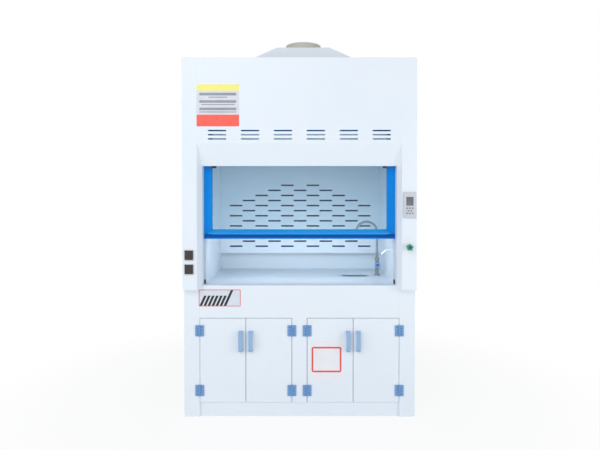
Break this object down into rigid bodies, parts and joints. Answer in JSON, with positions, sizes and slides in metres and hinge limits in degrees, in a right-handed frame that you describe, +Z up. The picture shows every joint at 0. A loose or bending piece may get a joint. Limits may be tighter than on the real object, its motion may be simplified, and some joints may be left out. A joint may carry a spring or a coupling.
{
  "type": "polypropylene fume hood",
  "caption": "Walk-up laboratory fume hood of white plastic sheet with a balanced blue sash, slotted baffle, bench tap, cup sink and a base cupboard with doors.",
  "frame": {"origin": "middle of the overall footprint, on the floor", "axes": "+Z up, +X to the right of someone facing the hood, +Y from the front to the back"},
  "size_m": [1.5, 0.898, 2.517],
  "materials": {
    "white_sheet": "satin white polypropylene sheet",
    "collar_plastic": "moulded beige plastic",
    "lamp_housing": "white housing with a clear lens",
    "blue_frame": "glossy blue polypropylene",
    "sash_glass": "clear toughened glass",
    "dark_rubber": "dark rubber",
    "bright_steel": "bright steel",
    "weight_steel": "plain steel bar",
    "controller_plastic": "pale grey moulding",
    "screen": "dark display window",
    "key_rubber": "grey rubber keys",
    "socket_plastic": "pale socket frame",
    "lid_plastic": "black flip lid",
    "valve_metal": "plated brass",
    "green_knob": "green knob",
    "coated_metal": "grey epoxy coated brass",
    "blue_knob": "blue knob",
    "sink_plastic": "grey polypropylene",
    "pale_blue_plastic": "pale blue polypropylene"
  },
  "bodies": {
    "carcass": {"outer_side_panels": "white_sheet", "back_panels": "white_sheet", "roof_panel": "white_sheet", "front_fascia": "white_sheet", "front_posts": "white_sheet", "liner_side_walls": "white_sheet", "liner_ceiling": "white_sheet", "baffle": "white_sheet", "upper_baffle": "white_sheet", "worktop": "white_sheet", "front_sill": "white_sheet", "duct_transition": "white_sheet", "base_side_panels": "white_sheet", "base_floor": "white_sheet", "base_divider": "white_sheet", "base_front_frame": "white_sheet", "base_kick": "white_sheet", "sash_guides": "white_sheet", "wall_outlet": "white_sheet", "duct_collar": "collar_plastic", "lamp_fitting": "lamp_housing", "sash_stops": "dark_rubber", "pulley_brackets": "bright_steel", "sash_lift_cables": "bright_steel", "weight_cables": "bright_steel", "cable_turns": "bright_steel", "controller_case": "controller_plastic", "controller_screen": "screen", "socket_bodies": "socket_plastic", "remote_valve": "valve_metal", "faucet_body": "coated_metal", "cup_sink": "sink_plastic", "sink_trap": "sink_plastic", "hinge_frame_leaves": "pale_blue_plastic"},
    "sash": {"sash_frame": "blue_frame", "sash_glass": "sash_glass", "sash_handle": "blue_frame"},
    "shaft": {"pulley_shaft": "bright_steel"},
    "weights": {"counterweights": "weight_steel"},
    "upper_socket_lid": {"socket_lid_upper": "lid_plastic"},
    "lower_socket_lid": {"socket_lid_lower": "lid_plastic"},
    "gas_knob": {"valve_knob": "green_knob"},
    "tap_knob": {"faucet_knob": "blue_knob"},
    "spout": {"faucet_spout": "coated_metal"},
    "key_1": {"controller_key_1": "key_rubber"},
    "key_2": {"controller_key_2": "key_rubber"},
    "key_3": {"controller_key_3": "key_rubber"},
    "key_4": {"controller_key_4": "key_rubber"},
    "key_5": {"controller_key_5": "key_rubber"},
    "key_6": {"controller_key_6": "key_rubber"},
    "key_7": {"controller_key_7": "key_rubber"},
    "key_8": {"controller_key_8": "key_rubber"},
    "door_1": {"door_1": "white_sheet", "door_1_handle_and_hinge_leaves": "pale_blue_plastic"},
    "door_2": {"door_2": "white_sheet", "door_2_handle_and_hinge_leaves": "pale_blue_plastic"},
    "door_3": {"door_3": "white_sheet", "door_3_handle_and_hinge_leaves": "pale_blue_plastic"},
    "door_4": {"door_4": "white_sheet", "door_4_handle_and_hinge_leaves": "pale_blue_plastic"}
  },
  "joints": [
    {"name": "sash_slide", "type": "slide", "parent": "carcass", "child": "sash", "axis": [0, 0, 1], "range_m": [-0.2715, 0.4], "deforming": ["sash_lift_cables"]},
    {"name": "weight_slide", "type": "slide", "parent": "carcass", "child": "weights", "axis": [0, 0, 1], "range_m": [-0.4, 0.2715], "deforming": ["weight_cables"]},
    {"name": "shaft_turn", "type": "hinge", "parent": "carcass", "child": "shaft", "pos_m": [0, -0.253, 2.276], "axis": [1, 0, 0], "range_deg": [-770, 525]},
    {"name": "door_1_hinge", "type": "hinge", "parent": "carcass", "child": "door_1", "pos_m": [-0.6485, -0.3565, 0.3685], "axis": [0, 0, -1], "range_deg": [0, 110]},
    {"name": "door_2_hinge", "type": "hinge", "parent": "carcass", "child": "door_2", "pos_m": [-0.0495, -0.3565, 0.3685], "axis": [0, 0, 1], "range_deg": [0, 90]},
    {"name": "door_3_hinge", "type": "hinge", "parent": "carcass", "child": "door_3", "pos_m": [0.0495, -0.3565, 0.3685], "axis": [0, 0, -1], "range_deg": [0, 90]},
    {"name": "door_4_hinge", "type": "hinge", "parent": "carcass", "child": "door_4", "pos_m": [0.6485, -0.3565, 0.3685], "axis": [0, 0, 1], "range_deg": [0, 110]},
    {"name": "upper_lid_hinge", "type": "hinge", "parent": "carcass", "child": "upper_socket_lid", "pos_m": [-0.706, -0.4108, 1.086], "axis": [-1, 0, 0], "range_deg": [0, 110]},
    {"name": "lower_lid_hinge", "type": "hinge", "parent": "carcass", "child": "lower_socket_lid", "pos_m": [-0.706, -0.4108, 0.9955], "axis": [-1, 0, 0], "range_deg": [0, 110]},
    {"name": "gas_knob_turn", "type": "hinge", "parent": "carcass", "child": "gas_knob", "pos_m": [0.7, -0.421, 1.112], "axis": [0, -1, 0], "range_deg": [0, 270]},
    {"name": "tap_knob_turn", "type": "hinge", "parent": "carcass", "child": "tap_knob", "pos_m": [0.562, 0.061, 0.936], "axis": [0, -1, 0], "range_deg": [0, 90]},
    {"name": "spout_swivel", "type": "hinge", "parent": "carcass", "child": "spout", "pos_m": [0.562, 0.09, 0.99], "axis": [0, 0, 1], "range_deg": [-90, 90]},
    {"name": "key_1_press", "type": "slide", "parent": "carcass", "child": "key_1", "axis": [0, 1, 0], "range_m": [0, 0.001], "stiffness_N_per_m": 100},
    {"name": "key_2_press", "type": "slide", "parent": "carcass", "child": "key_2", "axis": [0, 1, 0], "range_m": [0, 0.001], "stiffness_N_per_m": 100},
    {"name": "key_3_press", "type": "slide", "parent": "carcass", "child": "key_3", "axis": [0, 1, 0], "range_m": [0, 0.001], "stiffness_N_per_m": 100},
    {"name": "key_4_press", "type": "slide", "parent": "carcass", "child": "key_4", "axis": [0, 1, 0], "range_m": [0, 0.001], "stiffness_N_per_m": 100},
    {"name": "key_5_press", "type": "slide", "parent": "carcass", "child": "key_5", "axis": [0, 1, 0], "range_m": [0, 0.001], "stiffness_N_per_m": 100},
    {"name": "key_6_press", "type": "slide", "parent": "carcass", "child": "key_6", "axis": [0, 1, 0], "range_m": [0, 0.001], "stiffness_N_per_m": 100},
    {"name": "key_7_press", "type": "slide", "parent": "carcass", "child": "key_7", "axis": [0, 1, 0], "range_m": [0, 0.001], "stiffness_N_per_m": 100},
    {"name": "key_8_press", "type": "slide", "parent": "carcass", "child": "key_8", "axis": [0, 1, 0], "range_m": [0, 0.001], "stiffness_N_per_m": 100}
  ],
  "couplings": [
    {"joint": "weight_slide", "follows": "sash_slide", "ratio": -1},
    {"joint": "shaft_turn", "follows": "sash_slide", "rad_per_m": -33.333}
  ]
}
